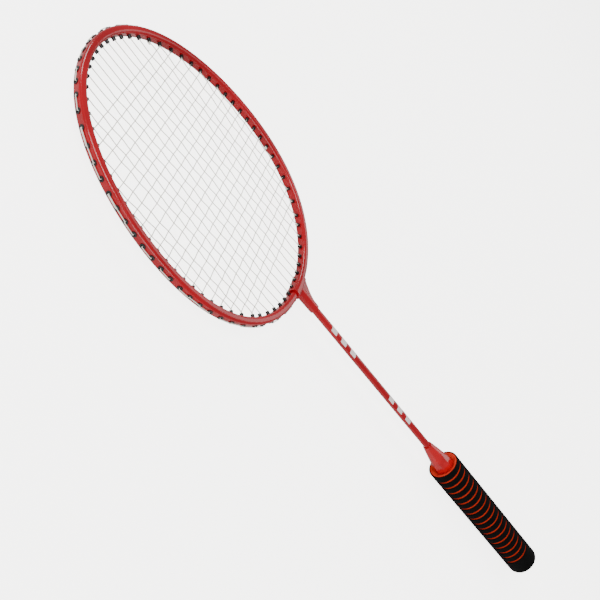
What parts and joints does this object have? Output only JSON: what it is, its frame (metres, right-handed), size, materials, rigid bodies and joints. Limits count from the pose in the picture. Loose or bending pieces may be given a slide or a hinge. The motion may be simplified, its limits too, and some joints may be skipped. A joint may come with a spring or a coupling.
{
  "type": "badminton racket",
  "caption": "Badminton racket with an oval tube hoop, woven string bed, slim shaft, cone cap and round grooved foam grip.",
  "frame": {"origin": "under the middle of the box around the racket, level with the lowest line of the grip", "axes": "+Y along the racket from the butt to the crown, +X across the head, +Z square to the string bed"},
  "size_m": [0.2026, 0.6662, 0.031],
  "materials": {
    "frame_paint": "gloss",
    "splice_plastic": "matte",
    "joint_paint": "gloss",
    "shaft_paint": "gloss",
    "cap_plastic": "gloss",
    "core_plastic": "matte",
    "pin_steel": "satin",
    "inner_foam": "matte",
    "outer_foam": "matte",
    "butt_plastic": "matte",
    "grommet_nylon": "satin",
    "string_nylon": "satin"
  },
  "bodies": {
    "root": {"head_frame": "frame_paint", "hoop_splice": "splice_plastic", "throat_joint": "joint_paint", "shaft": "shaft_paint", "cone_cap": "cap_plastic", "handle_core": "core_plastic", "shaft_pin": "pin_steel", "grip_inner_foam": "inner_foam", "grip_outer_foam": "outer_foam", "butt_cap": "butt_plastic", "crown_grommets": "grommet_nylon", "left_grommets": "grommet_nylon", "right_grommets": "grommet_nylon", "throat_grommets": "grommet_nylon", "main_string": "string_nylon", "cross_string": "string_nylon"}
  },
  "joints": []
}
